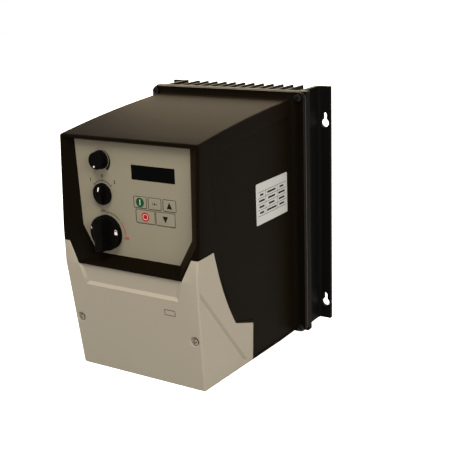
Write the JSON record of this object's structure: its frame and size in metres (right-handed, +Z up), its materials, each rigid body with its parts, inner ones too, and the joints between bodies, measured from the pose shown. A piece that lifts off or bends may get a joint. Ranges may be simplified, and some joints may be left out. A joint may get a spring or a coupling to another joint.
{
  "type": "variable frequency drive",
  "caption": "Sealed wall-mounted motor drive with a finned heat sink, a hooded control panel with display, keys, speed knob, selector and isolator, and a screwed terminal cover.",
  "frame": {"origin": "under the middle of the bounding box, level with the bottom edge of the drive", "axes": "+X to the right seen from the front, +Y back towards the wall, +Z up; the control panel faces -Y"},
  "size_m": [0.188, 0.2204, 0.245],
  "materials": {
    "black_paint": "extruded aluminium, black satin coating",
    "black_plastic": "black moulded plastic, fine satin grain",
    "grey_plastic": "warm light grey moulded plastic, satin",
    "panel_grey": "warm light grey overlay, satin",
    "tinted_window": "dark tinted plastic, polished",
    "knob_plastic": "black plastic, half gloss",
    "seal_rubber": "matt black rubber",
    "screw_steel": "zinc-plated steel",
    "brass": "plain brass",
    "circuit_board": "green solder resist",
    "terminal_green": "green moulded plastic",
    "terminal_grey": "grey moulded plastic",
    "capacitor_sleeve": "dark shrink sleeve",
    "component_black": "black moulding compound",
    "copper_winding": "enamelled copper wire",
    "relay_case": "pale plastic case",
    "support_nylon": "natural nylon",
    "ribbon_grey": "grey flat cable"
  },
  "bodies": {
    "drive": {"heatsink": "black_paint", "housing": "black_plastic", "housing_gasket": "seal_rubber", "housing_screw_lower_left": "screw_steel", "housing_screw_lower_right": "screw_steel", "housing_screw_upper_left": "screw_steel", "housing_screw_upper_right": "screw_steel", "terminal_cover": "grey_plastic", "cover_gasket": "seal_rubber", "cover_screw_left": "screw_steel", "cover_screw_right": "screw_steel", "entry_plug_left": "knob_plastic", "entry_plug_middle": "knob_plastic", "entry_plug_right": "knob_plastic", "control_panel": "panel_grey", "display_window": "tinted_window", "display_module": "component_black", "start_switch": "component_black", "navigate_switch": "component_black", "up_switch": "component_black", "stop_switch": "component_black", "down_switch": "component_black", "potentiometer": "component_black", "potentiometer_nut": "brass", "selector_switch": "component_black", "selector_nut": "brass", "isolator_switch": "component_black", "isolator_nut": "brass", "control_board": "circuit_board", "board_screw_upper_left": "screw_steel", "board_screw_upper_right": "screw_steel", "board_screw_lower_right": "screw_steel", "control_terminals": "terminal_green", "data_port": "component_black", "ribbon_cable": "ribbon_grey", "power_module": "component_black", "module_screw": "screw_steel", "power_board": "circuit_board", "board_support_lower_left": "support_nylon", "board_support_lower_right": "support_nylon", "board_support_upper_left": "support_nylon", "board_support_upper_right": "support_nylon", "dc_link_capacitor_left": "capacitor_sleeve", "dc_link_capacitor_right": "capacitor_sleeve", "filter_choke": "copper_winding", "inrush_relay": "relay_case", "mains_terminals": "terminal_grey", "motor_terminals": "terminal_grey", "earth_screw": "brass"},
    "speed_control": {"speed_knob": "knob_plastic", "potentiometer_shaft": "screw_steel"},
    "mode_selector": {"selector_knob": "knob_plastic", "selector_spindle": "screw_steel"},
    "isolator": {"isolator_handle": "knob_plastic", "isolator_shaft": "screw_steel"},
    "start_button": {"start_key": "panel_grey"},
    "navigate_button": {"navigate_key": "panel_grey"},
    "up_button": {"up_key": "panel_grey"},
    "stop_button": {"stop_key": "panel_grey"},
    "down_button": {"down_key": "panel_grey"}
  },
  "joints": [
    {"name": "speed_turn", "type": "hinge", "parent": "drive", "child": "speed_control", "pos_m": [-0.0335, -0.09465, 0.2017], "axis": [0, 1, 0], "range_deg": [0, 300]},
    {"name": "selector_turn", "type": "hinge", "parent": "drive", "child": "mode_selector", "pos_m": [-0.0339, -0.09465, 0.1703], "axis": [0, 1, 0], "range_deg": [-45, 45]},
    {"name": "isolator_turn", "type": "hinge", "parent": "drive", "child": "isolator", "pos_m": [-0.0315, -0.09465, 0.1348], "axis": [0, 1, 0], "range_deg": [0, 90]},
    {"name": "start_press", "type": "slide", "parent": "drive", "child": "start_button", "axis": [0, 1, 0], "range_m": [0, 0.0006], "stiffness_N_per_m": 2000},
    {"name": "navigate_press", "type": "slide", "parent": "drive", "child": "navigate_button", "axis": [0, 1, 0], "range_m": [0, 0.0006], "stiffness_N_per_m": 2000},
    {"name": "up_press", "type": "slide", "parent": "drive", "child": "up_button", "axis": [0, 1, 0], "range_m": [0, 0.0006], "stiffness_N_per_m": 2000},
    {"name": "stop_press", "type": "slide", "parent": "drive", "child": "stop_button", "axis": [0, 1, 0], "range_m": [0, 0.0006], "stiffness_N_per_m": 2000},
    {"name": "down_press", "type": "slide", "parent": "drive", "child": "down_button", "axis": [0, 1, 0], "range_m": [0, 0.0006], "stiffness_N_per_m": 2000}
  ]
}
